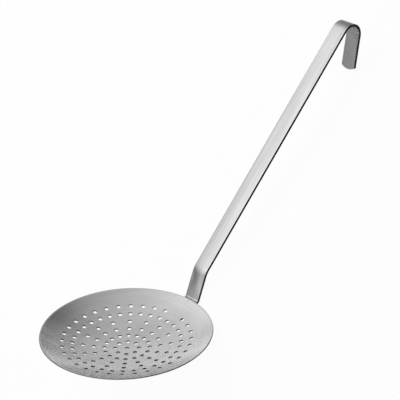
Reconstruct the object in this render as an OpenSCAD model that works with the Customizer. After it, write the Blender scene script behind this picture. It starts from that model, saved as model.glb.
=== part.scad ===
// Skimmer: a shallow dished bowl with rings of drain holes, welded onto the foot of a long flat strip
// handle whose end is bent over into a hanging hook. Sizes in millimetres, angles in degrees.
// It is drawn as it lies on a table, on the outside of the neck bend and on the end of the hook.

/* [Bowl] */
// Diameter across the upper edge of the rim
bowl_d = 160; // [140:1:220]
// Depth of the dish below its rim
bowl_depth = 18; // [12:0.5:30]
// Thickness of the bowl's sheet
sheet_t = 1.2; // [0.8:0.1:2]

/* [Drain holes] */
// Diameter of a drain hole
hole_d = 3.8; // [2:0.1:5]
// First ring's distance from the middle hole, along the sheet
first_ring = 11; // [9:0.5:13]
// Step from one ring to the next, along the sheet
ring_pitch = 10; // [7:0.5:14]
// Holes in the first ring, which a wider ring doubles when its holes would stand too far apart
first_count = 8; // [6:1:10]
// Widest step that neighbours in one ring may have before their number doubles
widest_step = 16.25; // [10:0.25:20]
// Width of the plain band between the outer ring and the rim
plain_band = 20; // [8:1:40]
// Sheet left between a drain hole and the foot under it
hole_margin = 1; // [0.5:0.1:1.3]

/* [Strip] */
// Width of the strip
strip_w = 16.8; // [14:0.2:20]
// Thickness of the strip
strip_t = 2.5; // [1.5:0.1:3.5]
// Radius that rounds both ends of the strip
end_r = 14; // [11:0.5:24]

/* [Foot and neck] */
// Length of the foot that is welded under the bowl
foot_l = 25; // [18:1:32]
// How deep the bowl's round underside beds into the edges of the foot
seat_bed = 0.1; // [0.05:0.05:0.3]
// Inside radius of the bend beside the rim
neck_bend_r = 4.5; // [3:0.5:8]
// Slope of the neck above the plane of the rim
neck_slope = 65; // [50:1:75]
// Straight length of the neck
neck_l = 23.5; // [12:0.5:45]

/* [Grip] */
// Inside radius of the bend between neck and grip
grip_bend_r = 17; // [8:1:40]
// Slope of the grip above the plane of the rim
grip_slope = 44; // [36:1:48]
// Straight length of the grip
grip_l = 263; // [200:1:320]

/* [Hook] */
// Inside radius of the hook
hook_r = 10.3; // [8:0.1:16]
// Angle through which the hook turns
hook_turn = 147; // [135:1:155]
// Straight length from the hook's bend to its end
tip_l = 35; // [26:1:45]

/* [Hidden] */

// Facets of the wide curves, of the strip's bends and of a drain hole
wide_fn = 360;
bend_fn = 96;
hole_fn = 32;
// How far a cutting shape runs past what it cuts
over = 1;
// How far a round face passes the flat one that it runs into, so that they meet in one clean edge
blend = 0.002;

// The dish is part of two spheres around one centre, above the middle of the rim's plane
rim_r = bowl_d / 2;
inner_r = (rim_r * rim_r + bowl_depth * bowl_depth) / (2 * bowl_depth);
outer_r = inner_r + sheet_t;
centre_z = inner_r - bowl_depth;
rim_angle = asin(rim_r / inner_r);

// Ring sizes as angles at that centre, because the holes are punched before the sheet is dished
function along_sheet(l) = l / inner_r * 180 / PI;
rim_arc = inner_r * rim_angle * PI / 180;
ring_n = floor((rim_arc - plain_band - first_ring) / ring_pitch) + 1;
function ring_arc(i) = first_ring + i * ring_pitch;
function ring_radius(i) = inner_r * sin(along_sheet(ring_arc(i)));
function doublings(i) = ceil(ln(2 * PI * ring_radius(i) / (first_count * widest_step)) / ln(2));
function ring_count(i) = first_count * pow(2, max(0, doublings(i)));

// The strip's middle line in the plane of symmetry, as [x, z] with x towards the hook
function at(p, r, a) = [p[0] + r * cos(a), p[1] + r * sin(a)];
centre = [0, centre_z];
seat_sink = outer_r - sqrt(outer_r * outer_r - strip_w * strip_w / 4) + seat_bed;
foot_r = outer_r - seat_sink + strip_t / 2;
neck_r = neck_bend_r + strip_t / 2;
grip_r = grip_bend_r + strip_t / 2;
bow_r = hook_r + strip_t / 2;
foot_angle = rim_angle - foot_l / foot_r * 180 / PI;
tip_slope = grip_slope - hook_turn;
foot_end = at(centre, foot_r, foot_angle - 90);
foot_rim = at(centre, foot_r, rim_angle - 90);
neck_centre = at(foot_rim, neck_r, rim_angle + 90);
neck_start = at(neck_centre, neck_r, neck_slope - 90);
neck_end = at(neck_start, neck_l, neck_slope);
grip_centre = at(neck_end, grip_r, neck_slope - 90);
grip_start = at(grip_centre, grip_r, grip_slope + 90);
grip_end = at(grip_start, grip_l, grip_slope);
hook_centre = at(grip_end, bow_r, grip_slope - 90);
tip_start = at(hook_centre, bow_r, tip_slope + 90);
tip_end = at(tip_start, tip_l, tip_slope);

// At rest the table touches the outside of the neck bend and the outer edge of the hook's end
rest_edge = at(tip_end, strip_t / 2, tip_slope + 90);
rest_run = [rest_edge[0] - neck_centre[0], rest_edge[1] - neck_centre[1]];
rest_tilt = atan2(rest_run[1], rest_run[0]) + asin((neck_bend_r + strip_t) / norm(rest_run));
function lying_x(p) = p[0] * cos(rest_tilt) + p[1] * sin(rest_tilt);
function lying_z(p) = p[1] * cos(rest_tilt) - p[0] * sin(rest_tilt);
low_x = lying_x(at(centre, outer_r, -90 - rim_angle));
high_x = lying_x(hook_centre) + hook_r + strip_t;

module as_it_lies() {
    translate([-(low_x + high_x) / 2, 0, -lying_z(rest_edge)])
        rotate([0, rest_tilt, 0])
            children();
}

// Everything inside the outer sphere and the cone that the rim's edge lies on
module filled_bowl() {
    cone_h = outer_r + over;
    translate([0, 0, centre_z])
        intersection() {
            sphere(r = outer_r, $fn = wide_fn);
            translate([0, 0, -cone_h])
                cylinder(h = cone_h, r1 = cone_h * tan(rim_angle), r2 = 0, $fn = wide_fn);
        }
}

// A punch square to the sheet, at an angle out from the middle and a turn round the bowl
module punch(out, turn) {
    translate([0, 0, centre_z])
        rotate([0, 0, turn])
            rotate([0, -out, 0])
                translate([0, 0, -outer_r - over])
                    cylinder(d = hole_d, h = sheet_t + 2 * over, $fn = hole_fn);
}

// A hole that would open onto the foot is left out
function on_foot(i, turn) =
    let (reach = hole_d / 2 + hole_margin)
    abs(turn) < 90
    && ring_radius(i) * abs(sin(turn)) < strip_w / 2 + reach
    && ring_arc(i) > rim_arc - foot_l - reach;

module drain_holes() {
    punch(0, 0);
    for (i = [0 : ring_n - 1], k = [0 : ring_count(i) - 1]) {
        turn = k * 360 / ring_count(i);
        if (!on_foot(i, turn > 180 ? turn - 360 : turn))
            punch(along_sheet(ring_arc(i)), turn);
    }
}

module perforated_bowl() {
    color("silver")
        as_it_lies()
            difference() {
                filled_bowl();
                translate([0, 0, centre_z]) sphere(r = inner_r, $fn = wide_fn);
                drain_holes();
            }
}

// Side view of the strip, drawn from the foot to the hook, each stretch in the frame where the last one ends.
// It is drawn twice: first the metal, filled in on the inside of each bend, then the rounds taken out there.
module straight(l, hollow) {
    if (!hollow) translate([0, -strip_t / 2]) square([l, strip_t]);
    translate([l, 0]) children();
}

// A turn above 0 bends the strip upwards
module bend(r, turn, hollow, facets = bend_fn) {
    side = sign(turn);
    reach = 2 * (r + strip_t);
    far = side > 0 ? -strip_t / 2 : strip_t / 2 - reach;
    if (hollow)
        translate([0, side * r]) circle(r = r - strip_t / 2 + blend, $fn = facets);
    else
        intersection() {
            translate([0, far]) square([reach, reach]);
            bend_end(r, turn) translate([-reach, far]) square([reach, reach]);
            translate([0, side * r]) circle(r = r + strip_t / 2 + blend, $fn = facets);
        }
    bend_end(r, turn) children();
}

module bend_end(r, turn) {
    side = sign(turn);
    translate([0, side * r]) rotate(turn) translate([0, -side * r]) children();
}

// The foot's bend is as wide as the whole dish, so it takes its own inside away and nothing else's
module foot_bend(r, turn, hollow) {
    if (!hollow)
        difference() {
            bend(r, turn, false, wide_fn);
            bend(r, turn, true, wide_fn);
        }
    bend_end(r, turn) children();
}

// A little long at both ends, for end_trim
module strip_path(hollow) {
    spare_angle = over / foot_r * 180 / PI;
    translate(centre) rotate(foot_angle - spare_angle) translate([0, -foot_r])
        foot_bend(foot_r, rim_angle - foot_angle + spare_angle, hollow)
        bend(neck_r, neck_slope - rim_angle, hollow)
        straight(neck_l, hollow)
        bend(grip_r, grip_slope - neck_slope, hollow)
        straight(grip_l, hollow)
        bend(bow_r, -hook_turn, hollow)
        straight(tip_l + over, hollow);
}

module strip_side() {
    difference() {
        strip_path(false);
        strip_path(true);
    }
}

// What the punch takes off an end of the strip: all that lies past an arc of end_r
module end_trim(p, slope) {
    translate([p[0], 0, p[1]])
        rotate([0, -slope, 0])
            translate([-end_r, 0, -strip_t])
                linear_extrude(2 * strip_t)
                    difference() {
                        translate([0, -strip_w]) square([end_r + 2 * over, 2 * strip_w]);
                        circle(r = end_r, $fn = bend_fn);
                    }
}

module hook_handle() {
    color("gainsboro")
        as_it_lies()
            difference() {
                rotate([90, 0, 0])
                    linear_extrude(strip_w, center = true)
                        strip_side();
                filled_bowl();
                end_trim(tip_end, tip_slope);
                end_trim(foot_end, foot_angle + 180);
            }
}

perforated_bowl();
hook_handle();
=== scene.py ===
import math
import bmesh
import bpy
from mathutils import Matrix, Quaternion, Vector


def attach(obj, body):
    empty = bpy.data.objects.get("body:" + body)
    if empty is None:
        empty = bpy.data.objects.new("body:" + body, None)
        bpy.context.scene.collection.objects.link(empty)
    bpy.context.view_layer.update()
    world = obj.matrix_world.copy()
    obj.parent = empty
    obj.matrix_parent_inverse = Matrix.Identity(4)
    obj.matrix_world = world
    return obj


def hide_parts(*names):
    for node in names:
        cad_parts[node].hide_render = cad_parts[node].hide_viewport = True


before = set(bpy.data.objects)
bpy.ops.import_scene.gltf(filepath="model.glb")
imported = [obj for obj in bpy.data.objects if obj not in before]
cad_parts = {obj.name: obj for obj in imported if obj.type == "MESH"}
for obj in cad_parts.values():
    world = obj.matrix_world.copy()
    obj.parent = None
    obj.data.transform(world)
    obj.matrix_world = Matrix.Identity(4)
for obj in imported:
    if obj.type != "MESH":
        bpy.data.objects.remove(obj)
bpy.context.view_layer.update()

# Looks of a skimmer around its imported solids. Lengths in metres, angles in degrees.
scene = bpy.context.scene

# bowl: one round of sheet, punched with rings of holes and then dished
bowl = dict(
    rimDiameter=0.160,
    depth=0.018,
    sheet=0.0012,
    holeDiameter=0.0038,
    firstRing=0.011,       # along the sheet, from the middle hole
    ringPitch=0.010,
    rings=6,
    firstCount=8,          # doubles each time the holes of a ring would stand too far apart
    widestStep=0.01625,
    holeMargin=0.001,      # left between a hole and the foot under it
    punchedRound=0.00012,  # edge that the punch draws in, on the inside
    exitRound=0.00006,     # edge on the outside
    apron=0.0005,          # ring of sheet that goes with each hole
    rimRound=0.00022,
    holeSides=18,
    side=0.0018,           # length of a face along a ring
    bandSteps=10,          # rows of faces on the plain band
    fillScale=1000,        # the fill between the holes works in millimetres
    weld=0.000004,         # points this near to each other become one
)

# handle: one flat strip, bent at the rim, at the grip and at the hook
strip = dict(
    width=0.0168,
    thick=0.0025,
    endRadius=0.014,
    foot=0.025,
    seatBed=0.0001,
    neckBend=0.0045,       # inside radius, as the other bends
    neckSlope=65,
    neck=0.0235,
    gripBend=0.017,
    gripSlope=44,
    grip=0.263,
    hookBend=0.0103,
    hookTurn=147,
    tip=0.035,
    cell=0.0005,           # length of one face along the strip
    cellsAcross=12,
    endFade=0.012,         # over which the rows of faces turn from round to straight
    edgeRound=0.00025,
    edgeSteps=2,
    edgeAngle=50,          # faces that meet at more than this get a rounded edge
    crease=(0.0012, 0.0024),   # from the rim, where the painted shade in the crease fades
)

# places that follow from the sizes, in the plane of symmetry, with the middle of the rim's plane at 0
rimRadius = bowl["rimDiameter"] / 2
innerRadius = (rimRadius ** 2 + bowl["depth"] ** 2) / (2 * bowl["depth"])
outerRadius = innerRadius + bowl["sheet"]
domeCentre = Vector((0, 0, innerRadius - bowl["depth"]))
rimAngle = math.asin(rimRadius / innerRadius)
halfWidth = strip["width"] / 2
halfThick = strip["thick"] / 2
seatSink = outerRadius - math.sqrt(outerRadius ** 2 - halfWidth ** 2) + strip["seatBed"]
footRadius = outerRadius - seatSink + halfThick
neckRadius, gripRadius, hookRadius = (strip[k] + halfThick for k in ("neckBend", "gripBend", "hookBend"))
neckSlope, gripSlope, hookTurn = (math.radians(strip[k]) for k in ("neckSlope", "gripSlope", "hookTurn"))


def fromPoint(start, distance, angle):
    return Vector((start[0] + distance * math.cos(angle), 0, start[2] + distance * math.sin(angle)))


def walkStrip():
    # the strip's middle line as points, from the foot to the end of the hook, with the slope at each
    turns = [
        (strip["foot"], strip["foot"] / footRadius),
        (neckRadius * (neckSlope - rimAngle), neckSlope - rimAngle),
        (strip["neck"], 0),
        (gripRadius * (neckSlope - gripSlope), gripSlope - neckSlope),
        (strip["grip"], 0),
        (hookRadius * hookTurn, -hookTurn),
        (strip["tip"], 0),
    ]
    slope = rimAngle - turns[0][1]
    line = [(fromPoint(domeCentre, footRadius, slope - math.pi / 2), slope)]
    for length, turn in turns:
        steps = math.ceil(length / strip["cell"])
        half = turn / steps / 2
        chord = length / steps * (math.sin(half) / half if half else 1)
        for _ in range(steps):
            line.append((fromPoint(line[-1][0], chord, line[-1][1] + half), line[-1][1] + 2 * half))
    return line, sum(length for length, turn in turns)


def asItLies(line):
    # at rest the table touches the outside of the neck bend and the outer edge of the hook's end
    rim = fromPoint(domeCentre, footRadius, rimAngle - math.pi / 2)
    neckCentre = fromPoint(rim, neckRadius, rimAngle + math.pi / 2)
    end, slope = line[-1]
    restEdge = fromPoint(end, halfThick, slope + math.pi / 2)
    run = restEdge - neckCentre
    tilt = math.atan2(run.z, run.x) + math.asin((neckRadius + halfThick) / run.length)
    turn = Matrix.Rotation(tilt, 4, "Y")
    lowX = (turn @ fromPoint(domeCentre, outerRadius, -math.pi / 2 - rimAngle)).x
    bend = fromPoint(fromPoint(end, -strip["tip"], slope), hookRadius, slope - math.pi / 2)
    highX = (turn @ bend).x + hookRadius + halfThick
    return Matrix.Translation((-(lowX + highX) / 2, 0, -(turn @ restEdge).z)) @ turn


stripLine, stripLength = walkStrip()
lie = asItLies(stripLine)


# geometry node helpers
def makeTree(name, inputs):
    tree = bpy.data.node_groups.new(name, "GeometryNodeTree")
    sockets = {}
    for label, kind in inputs.items():
        sockets[label] = tree.interface.new_socket(name=label, in_out="INPUT",
                                                   socket_type="NodeSocket" + kind)
    tree.interface.new_socket(name="Geometry", in_out="OUTPUT", socket_type="NodeSocketGeometry")
    return tree, sockets, tree.nodes.new("NodeGroupInput").outputs


def put(tree, kind, sources=None, **settings):
    # an input's source is a value, a socket or a list of sockets
    node = tree.nodes.new(kind)
    for name, value in settings.items():
        setattr(node, name, value)
    for key, source in (sources or {}).items():
        for one in source if isinstance(source, list) else [source]:
            if isinstance(one, bpy.types.NodeSocket):
                tree.links.new(one, node.inputs[key])
            else:
                node.inputs[key].default_value = one
    return node


def maths(tree, operation, *values):
    return put(tree, "ShaderNodeMath", dict(enumerate(values)), operation=operation).outputs[0]


def vectors(tree, operation, *values, out=0):
    return put(tree, "ShaderNodeVectorMath", dict(enumerate(values)), operation=operation).outputs[out]


def scaled(tree, vector, factor):
    return put(tree, "ShaderNodeVectorMath", {0: vector, "Scale": factor}, operation="SCALE").outputs[0]


def xyz(tree, x=0.0, y=0.0, z=0.0):
    return put(tree, "ShaderNodeCombineXYZ", {0: x, 1: y, 2: z}).outputs[0]


def apart(tree, vector):
    return put(tree, "ShaderNodeSeparateXYZ", {0: vector}).outputs


def objectShape(tree, source, asInstance=True):
    sources = {"Object": source, "As Instance": asInstance}
    return put(tree, "GeometryNodeObjectInfo", sources).outputs["Geometry"]


def store(tree, geometry, name, value, kind, domain):
    sources = {"Geometry": geometry, "Name": name, "Value": value}
    return put(tree, "GeometryNodeStoreNamedAttribute", sources, data_type=kind, domain=domain).outputs[0]


def finish(tree, geometry, faceSteel, **markedSteel):
    # marked faces get their own finish
    sources = {"Geometry": geometry, "Material": faceSteel}
    geometry = put(tree, "GeometryNodeSetMaterial", sources).outputs[0]
    for mark, steel in markedSteel.items():
        marked = put(tree, "GeometryNodeInputNamedAttribute", {"Name": mark}, data_type="BOOLEAN")
        sources = {"Geometry": geometry, "Selection": marked.outputs["Attribute"], "Material": steel}
        geometry = put(tree, "GeometryNodeSetMaterial", sources).outputs[0]
    tree.links.new(geometry, tree.nodes.new("NodeGroupOutput").inputs[0])


def shape(obj, tree, sockets, values):
    modifier = obj.modifiers.new("shape", "NODES")
    modifier.node_group = tree
    for label, value in values.items():
        modifier[sockets[label].identifier] = value


def freeze(obj, place):
    # what the modifiers make, as a plain mesh in its place at rest
    bpy.context.view_layer.update()
    seen = obj.evaluated_get(bpy.context.evaluated_depsgraph_get())
    mesh = bpy.data.meshes.new_from_object(seen)
    obj.modifiers.clear()
    obj.data = mesh
    mesh.transform(place)
    if mesh.materials[0] is None:   # the empty slot that a node's own mesh starts with
        mesh.materials.pop(index=0)
    low = [min(v.co[k] for v in mesh.vertices) for k in range(3)]
    high = [max(v.co[k] for v in mesh.vertices) for k in range(3)]
    print(obj.name, len(mesh.polygons), "faces, box", [round(v, 5) for v in low + high])


def link(name, data):
    obj = bpy.data.objects.new(name, data)
    scene.collection.objects.link(obj)
    return obj


def lathe(name, profile, sides, mark, marked):
    # profile points are (distance from the axis, height); the faces of one stretch of it are marked
    points, faces = [], []
    for k in range(sides):
        angle = 2 * math.pi * k / sides
        points += [(r * math.cos(angle), r * math.sin(angle), z) for r, z in profile]
    n = len(profile)
    for k in range(sides):
        here, there = k * n, (k + 1) % sides * n
        faces += [(here + j, here + j + 1, there + j + 1, there + j) for j in range(n - 1)]
    mesh = bpy.data.meshes.new(name)
    mesh.from_pydata(points, [], faces)
    marks = mesh.attributes.new(mark, "BOOLEAN", "FACE")
    marks.data.foreach_set("value", [marked[0] <= j < marked[1] for j in range(n - 1)] * sides)
    return link(name, mesh)


def onDome(radius, distance):
    return (distance, -math.sqrt(radius ** 2 - distance ** 2))


def holeLip():
    # wall of a hole with its drawn-in edges, from the outside of the sheet to the inside
    wall = bowl["holeDiameter"] / 2
    reach = wall + bowl["apron"]
    low, high = bowl["exitRound"], bowl["punchedRound"]
    profile = [
        onDome(outerRadius, reach * outerRadius / innerRadius),
        (wall + low, -outerRadius),
        (wall, -outerRadius + low),
        (wall, -innerRadius - high),
        (wall + high, -innerRadius),
        onDome(innerRadius, reach),
    ]
    cutWall = (1, len(profile) - 2)
    return lathe("holeLip", profile, bowl["holeSides"], "cut", cutWall)


def rimBand():
    # plain band from the last ring of holes over the sheared rim and back underneath
    start = bowl["firstRing"] + (bowl["rings"] - 0.5) * bowl["ringPitch"]
    edge, small, steps = innerRadius * rimAngle, bowl["rimRound"], bowl["bandSteps"]
    arcs = [start + (edge - small - start) * k / steps for k in range(steps + 1)]
    corner = [(1 - math.cos(c), 1 - math.sin(c)) for c in map(math.radians, (30, 60, 90))]   # a round edge
    polar = [(innerRadius, a) for a in arcs]
    polar += [(innerRadius + small * up, edge - small * back) for up, back in corner]
    polar += [(outerRadius - small * up, edge - small * back) for up, back in corner[::-1]]
    polar += [(outerRadius, a) for a in arcs[::-1]]
    profile = [(r * math.sin(a / innerRadius), -r * math.cos(a / innerRadius)) for r, a in polar]
    around = 2 * math.pi * innerRadius * math.sin(start / innerRadius)
    sheared = (steps + 1, steps + 2 * len(corner))
    return lathe("rimBand", profile, round(around / bowl["side"]), "rim", sheared)


def punchedDish():
    tree, sockets, given = makeTree("punchedDish", {
        "Inner radius": "Float", "Outer radius": "Float", "Hole reach": "Float", "Hole sides": "Int",
        "First ring": "Float", "Ring pitch": "Float", "Rings": "Int", "First count": "Int",
        "Widest step": "Float", "Side": "Float", "Weld": "Float", "Foot from": "Float",
        "Foot half width": "Float", "Hole lip": "Object", "Rim band": "Object",
        "Sheet steel": "Material", "Cut steel": "Material", "Rim steel": "Material",
    })
    inner = given["Inner radius"]

    def radiusAt(arc):
        return maths(tree, "MULTIPLY", inner, maths(tree, "SINE", maths(tree, "DIVIDE", arc, inner)))

    def circleCurve(sides, radius):
        sources = {"Resolution": sides, "Radius": radius}
        return put(tree, "GeometryNodeCurvePrimitiveCircle", sources, mode="RADIUS").outputs["Curve"]

    def ringCurve(arc):
        radius = radiusAt(arc)
        around = maths(tree, "MULTIPLY", radius, 2 * math.pi)
        sides = maths(tree, "ROUND", maths(tree, "DIVIDE", around, given["Side"]))
        return circleCurve(maths(tree, "MAXIMUM", sides, given["Hole sides"]), radius)

    def dropToDome(geometry, factor):
        # z on the inner sphere, whose centre is the origin
        x, y = apart(tree, tree.nodes.new("GeometryNodeInputPosition").outputs[0])[:2]
        x, y = maths(tree, "MULTIPLY", x, factor), maths(tree, "MULTIPLY", y, factor)
        flat = maths(tree, "MULTIPLY_ADD", x, x, maths(tree, "MULTIPLY", y, y))
        deep = maths(tree, "SQRT", maths(tree, "SUBTRACT", maths(tree, "MULTIPLY", inner, inner), flat))
        place = xyz(tree, x, y, maths(tree, "MULTIPLY", deep, -1))
        return put(tree, "GeometryNodeSetPosition", {"Geometry": geometry, "Position": place}).outputs[0]

    # one zone of sheet for each ring of holes, the middle hole being ring 0
    loop = tree.nodes.new("GeometryNodeRepeatInput")
    loopEnd = tree.nodes.new("GeometryNodeRepeatOutput")
    loop.pair_with_output(loopEnd)
    loopEnd.repeat_items.clear()
    loopEnd.repeat_items.new("GEOMETRY", "Sheet")
    loopEnd.repeat_items.new("GEOMETRY", "Lips")
    tree.links.new(maths(tree, "ADD", given["Rings"], 1), loop.inputs["Iterations"])
    ring = loop.outputs["Iteration"]
    outside = maths(tree, "MINIMUM", ring, 1)
    stepsOut = maths(tree, "SUBTRACT", ring, 1)
    arc = maths(tree, "MULTIPLY_ADD", stepsOut, given["Ring pitch"], given["First ring"])
    halfPitch = maths(tree, "MULTIPLY", given["Ring pitch"], 0.5)
    holeArc = maths(tree, "MULTIPLY", arc, outside)
    ringRadius = radiusAt(holeArc)

    # the count doubles each time the step would get too wide
    around = maths(tree, "MULTIPLY", ringRadius, 2 * math.pi)
    widest = maths(tree, "MULTIPLY", given["First count"], given["Widest step"])
    ratio = maths(tree, "MAXIMUM", maths(tree, "DIVIDE", around, widest), 0.5)
    doublings = maths(tree, "MAXIMUM", maths(tree, "CEIL", maths(tree, "LOGARITHM", ratio, 2)), 0)
    count = maths(tree, "MULTIPLY", given["First count"], maths(tree, "POWER", 2, doublings))
    count = maths(tree, "MULTIPLY_ADD", maths(tree, "SUBTRACT", count, 1), outside, 1)
    number = tree.nodes.new("GeometryNodeInputIndex").outputs[0]
    turn = maths(tree, "MULTIPLY", number, maths(tree, "DIVIDE", 2 * math.pi, count))

    # a hole that would open onto the foot is left out
    aside = maths(tree, "ABSOLUTE", maths(tree, "MULTIPLY", ringRadius, maths(tree, "SINE", turn)))
    onFoot = maths(tree, "MULTIPLY", maths(tree, "GREATER_THAN", maths(tree, "COSINE", turn), 0),
                   maths(tree, "LESS_THAN", aside, given["Foot half width"]))
    onFoot = maths(tree, "MULTIPLY", onFoot, maths(tree, "GREATER_THAN", holeArc, given["Foot from"]))
    keep = maths(tree, "SUBTRACT", 1, onFoot)

    # each hole is turned out to its place about the dish's centre
    tip = maths(tree, "MULTIPLY", maths(tree, "DIVIDE", holeArc, inner), -1)
    turned = put(tree, "FunctionNodeEulerToRotation", {0: xyz(tree, 0, tip, turn)}).outputs[0]
    points = put(tree, "GeometryNodePoints", {"Count": count}).outputs[0]
    circle = dropToDome(circleCurve(given["Hole sides"], given["Hole reach"]), 1)
    lip = objectShape(tree, given["Hole lip"])
    outlines, lips = (
        put(tree, "GeometryNodeInstanceOnPoints",
            {"Points": points, "Selection": keep, "Instance": one, "Rotation": turned}).outputs[0]
        for one in (circle, lip))
    outlines = put(tree, "GeometryNodeRealizeInstances", {0: outlines}).outputs[0]
    within = ringCurve(maths(tree, "SUBTRACT", arc, halfPitch))
    within = put(tree, "GeometryNodeSwitch", {"Switch": outside, "True": within},
                 input_type="GEOMETRY").outputs[0]
    beyond = ringCurve(maths(tree, "ADD", arc, halfPitch))
    zone = put(tree, "GeometryNodeJoinGeometry", {0: [outlines, within, beyond]}).outputs[0]
    here = tree.nodes.new("GeometryNodeInputPosition").outputs[0]
    flat = vectors(tree, "MULTIPLY", here, (bowl["fillScale"], bowl["fillScale"], 0))
    zone = put(tree, "GeometryNodeSetPosition", {"Geometry": zone, "Position": flat}).outputs[0]
    zone = put(tree, "GeometryNodeFillCurve", {0: zone}).outputs[0]
    zone = dropToDome(zone, 1 / bowl["fillScale"])
    for item, made in (("Sheet", zone), ("Lips", lips)):
        both = put(tree, "GeometryNodeJoinGeometry", {0: [loop.outputs[item], made]}).outputs[0]
        tree.links.new(both, loopEnd.inputs[item])

    # the outside of the sheet is the inside made larger about the dish's centre
    sheet = loopEnd.outputs["Sheet"]
    larger = maths(tree, "DIVIDE", given["Outer radius"], inner)
    below = put(tree, "GeometryNodeTransform", {"Geometry": sheet, "Scale": larger}).outputs[0]
    below = put(tree, "GeometryNodeFlipFaces", {0: below}).outputs[0]
    rim = objectShape(tree, given["Rim band"])
    together = [sheet, below, loopEnd.outputs["Lips"], rim]
    whole = put(tree, "GeometryNodeJoinGeometry", {0: together}).outputs[0]
    whole = put(tree, "GeometryNodeRealizeInstances", {0: whole}).outputs[0]
    whole = put(tree, "GeometryNodeMergeByDistance",
                {"Geometry": whole, "Distance": given["Weld"]}).outputs[0]
    whole = put(tree, "GeometryNodeSetShadeSmooth", {"Geometry": whole, "Shade Smooth": True}).outputs[0]
    finish(tree, whole, given["Sheet steel"], cut=given["Cut steel"], rim=given["Rim steel"])
    return tree, sockets


def makeBowl(sheetSteel, cutSteel, rimSteel):
    lip, rim = holeLip(), rimBand()
    tree, sockets = punchedDish()
    piece = link("perforatedBowl", bpy.data.meshes.new("perforatedBowl"))
    reach = bowl["holeDiameter"] / 2 + bowl["holeMargin"]
    shape(piece, tree, sockets, {
        "Inner radius": innerRadius,
        "Outer radius": outerRadius,
        "Hole reach": bowl["holeDiameter"] / 2 + bowl["apron"],
        "Hole sides": bowl["holeSides"],
        "First ring": bowl["firstRing"],
        "Ring pitch": bowl["ringPitch"],
        "Rings": bowl["rings"],
        "First count": bowl["firstCount"],
        "Widest step": bowl["widestStep"],
        "Side": bowl["side"],
        "Weld": bowl["weld"],
        "Foot from": innerRadius * rimAngle - strip["foot"] - reach,
        "Foot half width": halfWidth + reach,
        "Hole lip": lip,
        "Rim band": rim,
        "Sheet steel": sheetSteel,
        "Cut steel": cutSteel,
        "Rim steel": rimSteel,
    })
    freeze(piece, lie @ Matrix.Translation(domeCentre))
    for helper in (lip, rim):
        bpy.data.objects.remove(helper)
    return piece


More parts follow.
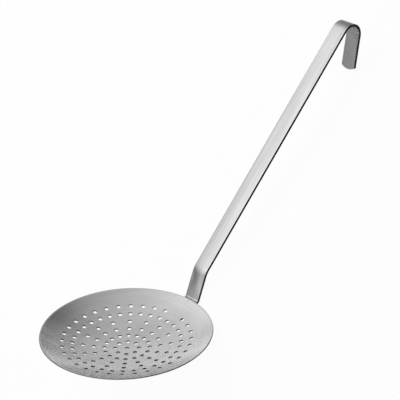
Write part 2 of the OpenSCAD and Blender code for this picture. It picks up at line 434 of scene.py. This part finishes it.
def bentStrip():
    tree, sockets, given = makeTree("bentStrip", {
        "Path": "Object", "Length": "Float", "Width": "Float", "Thickness": "Float", "Cells along": "Int",
        "Cells across": "Int", "End radius": "Float", "End fade": "Float", "Outer radius": "Float",
        "Rim angle": "Float", "Dish centre": "Vector", "Crease from": "Float", "Crease to": "Float",
        "Face steel": "Material", "Cut steel": "Material",
    })
    size = xyz(tree, given["Length"], given["Width"], given["Thickness"])
    blank = put(tree, "GeometryNodeMeshCube", {
        "Size": size,
        "Vertices X": maths(tree, "ADD", given["Cells along"], 1),
        "Vertices Y": maths(tree, "ADD", given["Cells across"], 1),
        "Vertices Z": 2,
    }).outputs["Mesh"]
    # the faces that stand upright, instead of lying flat, were cut
    upwards = maths(tree, "ABSOLUTE", apart(tree, tree.nodes.new("GeometryNodeInputNormal").outputs[0])[2])
    cut = put(tree, "FunctionNodeCompare", {0: upwards, 1: 0.5}, data_type="FLOAT", operation="LESS_THAN")
    blank = store(tree, blank, "cut", cut.outputs[0], "BOOLEAN", "FACE")

    # the rows of faces near an end follow its arc
    x, across, up = apart(tree, tree.nodes.new("GeometryNodeInputPosition").outputs[0])
    along = maths(tree, "MULTIPLY_ADD", given["Length"], 0.5, x)
    square = maths(tree, "MULTIPLY", given["End radius"], given["End radius"])
    drop = maths(tree, "SQRT", maths(tree, "SUBTRACT", square, maths(tree, "MULTIPLY", across, across)))
    drop = maths(tree, "SUBTRACT", given["End radius"], drop)

    def nearness(distance):
        share = maths(tree, "DIVIDE", distance, given["End fade"])
        return maths(tree, "MAXIMUM", maths(tree, "SUBTRACT", 1, share), 0)

    toEnd = maths(tree, "SUBTRACT", given["Length"], along)
    shift = maths(tree, "SUBTRACT", nearness(along), nearness(toEnd))
    travel = maths(tree, "MULTIPLY_ADD", drop, shift, along)
    flat = xyz(tree, travel, maths(tree, "ADD", across, up))
    blank = store(tree, blank, "alongStrip", flat, "FLOAT2", "CORNER")

    # 1 in the crease beside the rim, on the upper face, where shade is painted
    sources = {"Value": travel, 1: given["Crease from"], 2: given["Crease to"], 3: 1.0, 4: 0.0}
    nearRim = put(tree, "ShaderNodeMapRange", sources, interpolation_type="SMOOTHSTEP").outputs[0]
    crease = maths(tree, "MULTIPLY", nearRim, maths(tree, "GREATER_THAN", up, 0))
    blank = store(tree, blank, "crease", crease, "FLOAT", "POINT")

    # bent along the path, whose plane is square to Y
    path = objectShape(tree, given["Path"], asInstance=False)
    sample = put(tree, "GeometryNodeSampleCurve", {"Curves": path, "Length": travel},
                 mode="LENGTH", use_all_curves=True).outputs
    normal = vectors(tree, "NORMALIZE", vectors(tree, "CROSS_PRODUCT", sample["Tangent"], (0, 1, 0)))
    place = vectors(tree, "ADD", sample["Position"], scaled(tree, normal, up))
    place = vectors(tree, "ADD", place, xyz(tree, 0, across, 0))

    # the foot's upper side takes the round of the bowl that sits on it
    fromDome = vectors(tree, "SUBTRACT", place, given["Dish centre"])
    distance = vectors(tree, "LENGTH", fromDome, out=1)
    level = apart(tree, vectors(tree, "NORMALIZE", fromDome))[2]
    rimLevel = maths(tree, "MULTIPLY", maths(tree, "COSINE", given["Rim angle"]), -1)
    under = maths(tree, "LESS_THAN", level, rimLevel)
    under = maths(tree, "MULTIPLY", under, maths(tree, "LESS_THAN", distance, given["Outer radius"]))
    push = maths(tree, "SUBTRACT", maths(tree, "DIVIDE", given["Outer radius"], distance), 1)
    place = vectors(tree, "ADD", place, scaled(tree, fromDome, maths(tree, "MULTIPLY", push, under)))
    bent = put(tree, "GeometryNodeSetPosition", {"Geometry": blank, "Position": place}).outputs[0]
    bent = put(tree, "GeometryNodeSetShadeSmooth", {"Geometry": bent, "Shade Smooth": True}).outputs[0]
    bent = put(tree, "GeometryNodeRealizeInstances", {0: bent}).outputs[0]
    finish(tree, bent, given["Face steel"], cut=given["Cut steel"])
    return tree, sockets


def makeHandle(faceSteel, cutSteel):
    line = bpy.data.curves.new("stripPath", "CURVE")
    line.dimensions = "3D"
    spline = line.splines.new("POLY")
    spline.points.add(len(stripLine) - 1)
    for point, (place, _) in zip(spline.points, stripLine):
        point.co = (*place, 1)
    path = link("stripPath", line)
    tree, sockets = bentStrip()
    piece = link("hookHandle", bpy.data.meshes.new("hookHandle"))
    shape(piece, tree, sockets, {
        "Path": path,
        "Length": stripLength,
        "Width": strip["width"],
        "Thickness": strip["thick"],
        "Cells along": round(stripLength / strip["cell"]),
        "Cells across": strip["cellsAcross"],
        "End radius": strip["endRadius"],
        "End fade": strip["endFade"],
        "Outer radius": outerRadius,
        "Rim angle": rimAngle,
        "Dish centre": domeCentre,
        "Crease from": strip["foot"] + strip["crease"][0],
        "Crease to": strip["foot"] + strip["crease"][1],
        "Face steel": faceSteel,
        "Cut steel": cutSteel,
    })
    edges = piece.modifiers.new("edges", "BEVEL")
    edges.width = strip["edgeRound"]
    edges.segments = strip["edgeSteps"]
    edges.limit_method = "ANGLE"
    edges.angle_limit = math.radians(strip["edgeAngle"])
    freeze(piece, lie)
    # the cut sides' finish runs on over their rounded edges
    cutSlot = piece.data.materials.find(cutSteel.name)
    for face in piece.data.polygons:
        if abs(face.center.y) > halfWidth - strip["edgeRound"]:
            face.material_index = cutSlot
    bpy.data.objects.remove(path)
    return piece


# materials
dishFinish = dict(
    tone=0.735,
    toneSpread=0.05,
    roughness=0.20,
    roughnessSpread=0.05,
    anisotropic=0.5,
    ringsPerMetre=1500,     # fine circles left by the brush
    ringBreaks=2.5,         # how often a circle changes on its way round
    streaksPerMetre=430,    # broad, faint circles between them
    streakBreaks=1.8,
    streakTone=0.06,
    grooveDepth=1.6e-6,
    grainPerMetre=1900,
    grainDepth=1.2e-6,
    cloudsPerMetre=35,      # wide, soft patches
)
stripFinish = dict(
    tone=0.575,
    toneSpread=0.05,
    roughness=0.22,
    roughnessSpread=0.05,
    anisotropic=0.6,
    linesPerMetre=1500,     # across the strip
    lineBreaks=22,          # along it
    streaksPerMetre=260,    # broad, faint streaks that the brush leaves, across the strip
    streakBreaks=11,        # along it
    streakTone=0.11,
    cloudsPerMetre=45,      # wide, soft patches
    grooveDepth=1.6e-6,
    crown=6.0,              # slope of the rolled face, for each metre from its middle
    bendCrown=36.0,         # added beside the grip's bend, where the strip arches across
    bendPlace=0.0460,       # along the strip
    bendReach=0.0090,
    hookMatt=0.25,          # roughness that the tight hook bend adds
    hookPlace=0.3370,
    hookReach=0.0180,
    creaseShadeTone=0.30,        # painted shade in the crease beside the rim
)
cutFinish = dict(
    sheared=0.035,          # tone of a hole wall or strip side: darker sheared steel, and partly painted shade of the walls and sides
    deburred=0.22,          # tone of the rim
    share=0.4,              # of the tone, which the marks add or take
    roughness=0.36,
    marksPerMetre=1700,
    markDepth=4e-6,
)


def startMaterial(name):
    material = bpy.data.materials.new(name)
    material.use_nodes = True
    material.node_tree.nodes.clear()
    return material, material.node_tree


def surface(tree, shader):
    tree.links.new(shader, tree.nodes.new("ShaderNodeOutputMaterial").inputs["Surface"])


def noise(tree, vector, detail=2):
    return put(tree, "ShaderNodeTexNoise", {"Vector": vector, "Scale": 1, "Detail": detail}).outputs[0]


def halfAndHalf(tree, one, other):
    return maths(tree, "MULTIPLY_ADD", one, 0.5, maths(tree, "MULTIPLY", other, 0.5))


def spreadAbout(tree, middle, spread, pattern):
    # middle plus or minus the spread, by a pattern that runs from 0 to 1
    return maths(tree, "MULTIPLY_ADD", pattern, 2 * spread, middle - spread)


def grey(tree, tone):
    return put(tree, "ShaderNodeCombineColor", {0: tone, 1: tone, 2: tone}).outputs[0]


def metal(tree, tone, roughness, height, anisotropic, along=None):
    bump = put(tree, "ShaderNodeBump", {"Strength": 1, "Distance": 1, "Height": height}).outputs[0]
    sources = {"Base Color": grey(tree, tone), "Metallic": 1, "Roughness": roughness, "Normal": bump,
               "Anisotropic": anisotropic}
    if along:
        sources["Tangent"] = along
    surface(tree, put(tree, "ShaderNodeBsdfPrincipled", sources).outputs[0])


def makeDishSteel():
    # satin sheet, brushed in circles before it was dished
    look = dishFinish
    material, tree = startMaterial("satinDish")
    here = tree.nodes.new("ShaderNodeTexCoord").outputs["Object"]
    centre = lie @ domeCentre
    dish = put(tree, "ShaderNodeMapping", {"Vector": here, "Location": centre, "Rotation": lie.to_euler()},
               vector_type="TEXTURE").outputs[0]
    flat = vectors(tree, "MULTIPLY", dish, (1, 1, 0))
    out = vectors(tree, "LENGTH", flat, out=1)
    facing = vectors(tree, "NORMALIZE", flat)

    def circles(breaks, perMetre, detail):
        level = xyz(tree, z=maths(tree, "MULTIPLY", out, perMetre))
        return noise(tree, vectors(tree, "ADD", scaled(tree, facing, breaks), level), detail)

    rings = circles(look["ringBreaks"], look["ringsPerMetre"], detail=3)
    streaks = circles(look["streakBreaks"], look["streaksPerMetre"], detail=1)
    grain = noise(tree, scaled(tree, dish, look["grainPerMetre"]))
    clouds = noise(tree, scaled(tree, dish, look["cloudsPerMetre"]))
    height = maths(tree, "MULTIPLY", rings, look["grooveDepth"])
    height = maths(tree, "MULTIPLY_ADD", grain, look["grainDepth"], height)
    mixed = halfAndHalf(tree, rings, clouds)
    tone = spreadAbout(tree, look["tone"], look["toneSpread"], mixed)
    tone = maths(tree, "ADD", tone, spreadAbout(tree, 0, look["streakTone"], streaks))
    roughness = spreadAbout(tree, look["roughness"], look["roughnessSpread"], mixed)
    lowest = lie @ Vector((0, 0, -bowl["depth"]))
    outwards = vectors(tree, "SUBTRACT", here, lowest)
    metal(tree, tone, roughness, height, look["anisotropic"], outwards)
    return material


def makeStripSteel():
    # satin strip, brushed lengthwise, its rolled faces a little crowned
    look = stripFinish
    material, tree = startMaterial("satinStrip")
    where = put(tree, "ShaderNodeUVMap", uv_map="alongStrip").outputs[0]
    along, across = apart(tree, where)[:2]

    def strokes(breaks, perMetre, detail):
        place = xyz(tree, maths(tree, "MULTIPLY", along, breaks), maths(tree, "MULTIPLY", across, perMetre))
        return noise(tree, place, detail)

    def near(place, reach):
        # 1 at a place along the strip, falling softly to both sides
        off = maths(tree, "DIVIDE", maths(tree, "SUBTRACT", along, place), reach)
        return maths(tree, "EXPONENT", maths(tree, "MULTIPLY", maths(tree, "MULTIPLY", off, off), -1))

    lines = strokes(look["lineBreaks"], look["linesPerMetre"], detail=3)
    streaks = strokes(look["streakBreaks"], look["streaksPerMetre"], detail=1)
    clouds = noise(tree, scaled(tree, where, look["cloudsPerMetre"]))
    atBend = near(look["bendPlace"], look["bendReach"])
    atHook = near(look["hookPlace"], look["hookReach"])

    # a crown whose slope grows evenly from the middle is half that slope times the distance squared
    crown = maths(tree, "MULTIPLY_ADD", atBend, look["bendCrown"], look["crown"])
    squared = maths(tree, "MULTIPLY", across, across)
    height = maths(tree, "MULTIPLY", squared, maths(tree, "MULTIPLY", crown, -0.5))
    height = maths(tree, "MULTIPLY_ADD", lines, look["grooveDepth"], height)
    mixed = halfAndHalf(tree, lines, clouds)
    tone = spreadAbout(tree, look["tone"], look["toneSpread"], mixed)
    tone = maths(tree, "ADD", tone, spreadAbout(tree, 0, look["streakTone"], streaks))
    # painted shade: the crease mask darkens the tone beside the rim
    crease = put(tree, "ShaderNodeAttribute", attribute_name="crease").outputs["Fac"]
    tone = maths(tree, "MULTIPLY", tone, maths(tree, "MULTIPLY_ADD", crease, look["creaseShadeTone"] - 1, 1))
    roughness = spreadAbout(tree, look["roughness"], look["roughnessSpread"], mixed)
    roughness = maths(tree, "MULTIPLY_ADD", atHook, look["hookMatt"], roughness)
    metal(tree, tone, roughness, height, look["anisotropic"], xyz(tree, 0, 1, 0))
    return material


def makeCutSteel(name, state):
    # where a blade or a punch went through
    look = cutFinish
    material, tree = startMaterial(name)
    here = tree.nodes.new("ShaderNodeTexCoord").outputs["Object"]
    marks = noise(tree, scaled(tree, here, look["marksPerMetre"]), detail=3)
    # the sheared tone is partly painted shade of the hole walls and strip sides
    tone = spreadAbout(tree, look[state], look[state] * look["share"], marks)
    metal(tree, tone, look["roughness"], maths(tree, "MULTIPLY", marks, look["markDepth"]), 0)
    return material


# studio
studio = dict(
    floorHalf=8.0,
    floorPaint=0.85,
    floorWhite=0.96,        # share of the floor that is plain white to the camera and in the steel
    # under the bowl's low side the floor stays plain paint: middle, turn, half axes
    shade=((-0.1690, 0.0260), 119, (0.057, 0.0146)),
    shadeFirm=3,            # how sharply its edge ends
    daylight=0.12,          # of the world, for soft light on what isn't metal
    tentRadius=4.5,
    tentSides=48,
    tentTone=0.52,
    # soft boxes around the steel: azimuth, elevation, spread, strength
    boxes=[(107.2, 66.2, 0.105, 1.144), (24.3, 2.1, 0.106, 1.717), (71.2, 27.8, 0.043, 1.152),
           (-150, 5, 0.12, 1.2), (-75, 3, 0.06, -0.45)],
    cardReach=2.2,          # half size of a card, in half axes of the oval that it fades over
    # the one lamp, for what isn't metal
    key=dict(azimuth=75, elevation=60, distance=1.6, size=(1.2, 1.2), power=22),
)

# dark cards: place of the middle, azimuth that a standing one is square to, half axes, cover
cards = dict(
    floorFar=((0.444, 0.295, 0.0004), None, (0.240, 0.210), 0.95),
    floorMiddle=((0.124, 0.020, 0.0008), None, (0.050, 0.240), 0.98),
    floorBack=((0.142, 0.191, 0.0012), None, (0.202, 0.040), 1.0),
    floorFront=((0.080, -0.044, 0.0016), None, (0.181, 0.041), 0.91),
    floorNear=((0.050, -0.420, 0.0020), None, (0.450, 0.300), 0.96),
    screenRight=((0.874, 0.101, 0.09), 6.6, (0.899, 0.700), 0.97),
    screenBack=((-0.021, 0.349, 0.22), 93.4, (0.544, 0.153), 0.43),
    screenNeck=((-0.280, 0.340, 0.12), 93.4, (0.075, 0.060), 0.72),
)


viewpoint = dict(
    place=(-0.36132, -1.27055, 1.46177),
    aim=(-0.01421, 0, 0.07044),
    roll=-44.43,            # about the line of sight
    lens=186.02,            # in millimetres, as the sensor
    sensor=36,
    clip=(0.01, 50),        # in metres
)


def makeCamera():
    data = bpy.data.cameras.new("camera")
    data.sensor_width = viewpoint["sensor"]
    data.lens = viewpoint["lens"]
    data.clip_start, data.clip_end = viewpoint["clip"]
    camera = link("camera", data)
    camera.location = viewpoint["place"]
    look = (Vector(viewpoint["aim"]) - Vector(viewpoint["place"])).to_track_quat("-Z", "Y")
    camera.rotation_mode = "QUATERNION"
    camera.rotation_quaternion = look @ Quaternion((0, 0, 1), math.radians(viewpoint["roll"]))
    scene.camera = camera


def towards(azimuth, elevation):
    a, e = math.radians(azimuth), math.radians(elevation)
    return Vector((math.cos(a) * math.cos(e), math.sin(a) * math.cos(e), math.sin(e)))


def light(tree, strength):
    return put(tree, "ShaderNodeEmission", {"Color": (1, 1, 1, 1), "Strength": strength}).outputs[0]


def seenWhite(tree):
    # 1 for what the camera sees, directly or in the steel
    path = tree.nodes.new("ShaderNodeLightPath").outputs
    either = maths(tree, "MAXIMUM", path["Is Camera Ray"], path["Is Glossy Ray"])
    return maths(tree, "MAXIMUM", either, path["Is Transmission Ray"])


def fading(tree, middle, turn, halfAxes, firm=1):
    # 1 in the middle of an oval on the object's own plane, falling softly outwards
    here = tree.nodes.new("ShaderNodeTexCoord").outputs["Object"]
    sources = {"Vector": here, "Location": (*middle, 0), "Rotation": (0, 0, math.radians(turn)),
               "Scale": (*halfAxes, 1)}
    off = put(tree, "ShaderNodeMapping", sources, vector_type="TEXTURE").outputs[0]
    flat = vectors(tree, "MULTIPLY", off, (1, 1, 0))
    squared = vectors(tree, "DOT_PRODUCT", flat, flat, out=1)
    return maths(tree, "EXPONENT", maths(tree, "MULTIPLY", maths(tree, "POWER", squared, firm), -1))


def makeWorld():
    world = bpy.data.worlds.new("studio")
    scene.world = world
    world.use_nodes = True
    tree = world.node_tree
    tree.nodes.clear()
    strength = maths(tree, "MULTIPLY_ADD", seenWhite(tree), 1 - studio["daylight"], studio["daylight"])
    back = put(tree, "ShaderNodeBackground", {"Color": (1, 1, 1, 1), "Strength": strength})
    tree.links.new(back.outputs[0], tree.nodes.new("ShaderNodeOutputWorld").inputs["Surface"])


def square(name, middle, halfAxes, height):
    mesh = bpy.data.meshes.new(name)
    corners = [(middle[0] + u * halfAxes[0], middle[1] + v * halfAxes[1], height)
               for u, v in ((-1, -1), (1, -1), (1, 1), (-1, 1))]
    mesh.from_pydata(corners, [], [(0, 1, 2, 3)])
    return link(name, mesh)


def makeFloor():
    floor = square("floor", (0, 0), (studio["floorHalf"],) * 2, 0)
    material, tree = startMaterial("paleFloor")
    oval = fading(tree, *studio["shade"], firm=studio["shadeFirm"])
    seen = tree.nodes.new("ShaderNodeLightPath").outputs["Is Camera Ray"]
    under = maths(tree, "MULTIPLY", oval, seen)
    paint = put(tree, "ShaderNodeBsdfDiffuse", {"Color": (studio["floorPaint"],) * 3 + (1,)}).outputs[0]
    share = maths(tree, "MULTIPLY", seenWhite(tree), studio["floorWhite"])
    share = maths(tree, "MULTIPLY", share, maths(tree, "SUBTRACT", 1, under))
    surface(tree, put(tree, "ShaderNodeMixShader", {0: share, 1: paint, 2: light(tree, 1)}).outputs[0])
    floor.data.materials.append(material)


def onlySteelSees(obj):
    obj.visible_camera = obj.visible_diffuse = obj.visible_shadow = obj.visible_transmission = False


def makeTent():
    # a light tent, brightest where its soft boxes are
    mesh = bpy.data.meshes.new("tent")
    form = bmesh.new()
    bmesh.ops.create_uvsphere(form, u_segments=studio["tentSides"], v_segments=studio["tentSides"] // 2,
                              radius=studio["tentRadius"])
    form.to_mesh(mesh)
    form.free()
    tent = link("tent", mesh)
    material, tree = startMaterial("tentCloth")
    here = tree.nodes.new("ShaderNodeTexCoord").outputs["Object"]
    way = vectors(tree, "NORMALIZE", here)
    glow = studio["tentTone"]
    for azimuth, elevation, spread, strength in studio["boxes"]:
        facing = vectors(tree, "DOT_PRODUCT", way, towards(azimuth, elevation), out=1)
        near = maths(tree, "SUBTRACT", facing, 1)
        soft = maths(tree, "EXPONENT", maths(tree, "DIVIDE", near, spread))
        glow = maths(tree, "MULTIPLY_ADD", soft, strength, glow)
    glow = maths(tree, "MAXIMUM", glow, 0)
    surface(tree, light(tree, glow))
    mesh.materials.append(material)
    material.cycles.emission_sampling = "NONE"
    onlySteelSees(tent)


def makeCards():
    for name, (middle, azimuth, halfAxes, cover) in cards.items():
        card = square(name, (0, 0), [studio["cardReach"] * h for h in halfAxes], 0)
        card.location = middle
        if azimuth is not None:
            card.rotation_euler = (math.radians(90), 0, math.radians(azimuth - 90))
        material, tree = startMaterial(name)
        clear = tree.nodes.new("ShaderNodeBsdfTransparent").outputs[0]
        dense = maths(tree, "MULTIPLY", fading(tree, (0, 0), 0, halfAxes), cover)
        surface(tree, put(tree, "ShaderNodeMixShader", {0: dense, 1: clear, 2: light(tree, 0)}).outputs[0])
        card.data.materials.append(material)
        onlySteelSees(card)


def softbox(name, azimuth, elevation, distance, size, power):
    data = bpy.data.lights.new(name, "AREA")
    data.shape = "RECTANGLE"
    data.size, data.size_y = size
    data.energy = power
    lamp = link(name, data)
    back = towards(azimuth, elevation)
    lamp.location = back * distance
    lamp.rotation_mode = "QUATERNION"
    lamp.rotation_quaternion = back.to_track_quat("Z", "Y")
    lamp.visible_camera = lamp.visible_glossy = False


sheetSteel, faceSteel = makeDishSteel(), makeStripSteel()
cutSteel, rimSteel = makeCutSteel("cutSteel", "sheared"), makeCutSteel("rimSteel", "deburred")
bowlPiece = makeBowl(sheetSteel, cutSteel, rimSteel)
print("bowl made")
handlePiece = makeHandle(faceSteel, cutSteel)
print("handle made")
for piece, node, slot in ((bowlPiece, "perforated_bowl", "bowl"), (handlePiece, "hook_handle", "handle")):
    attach(piece, "root")
    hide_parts(node)
makeFloor()
makeWorld()
makeTent()
makeCards()
softbox("keySoftbox", **studio["key"])
makeCamera()
scene.view_settings.view_transform = "Standard"
print("studio made")
